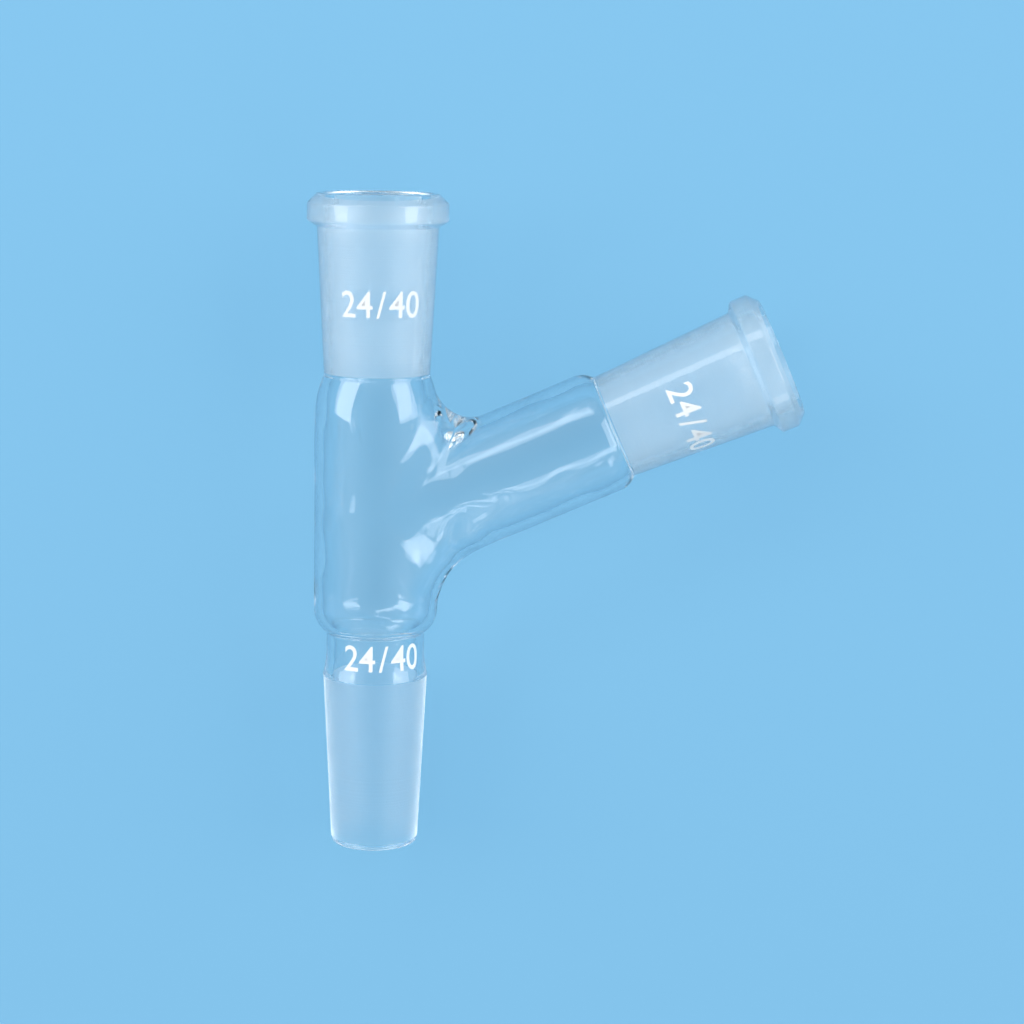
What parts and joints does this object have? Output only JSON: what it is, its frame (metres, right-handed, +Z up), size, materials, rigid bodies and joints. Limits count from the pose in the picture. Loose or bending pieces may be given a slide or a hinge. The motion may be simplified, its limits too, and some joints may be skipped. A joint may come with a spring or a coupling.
{
  "type": "receiver adapter",
  "caption": "Blown glass adapter for laboratory glassware: a straight tube with a ground socket above and a ground cone below, and a side arm that ends in a ground socket",
  "frame": {"origin": "centre of the box round the adapter, on the surface that it lies on", "axes": "+X from the body towards the end of the side arm, +Y along the main tube from the ground cone to the upper socket, +Z up, away from the surface that it lies on"},
  "size_m": [0.1132, 0.1512, 0.0321],
  "materials": {
    "glass": "clear and polished, with ground joints"
  },
  "bodies": {
    "root": {"glass_body": "glass"}
  },
  "joints": []
}
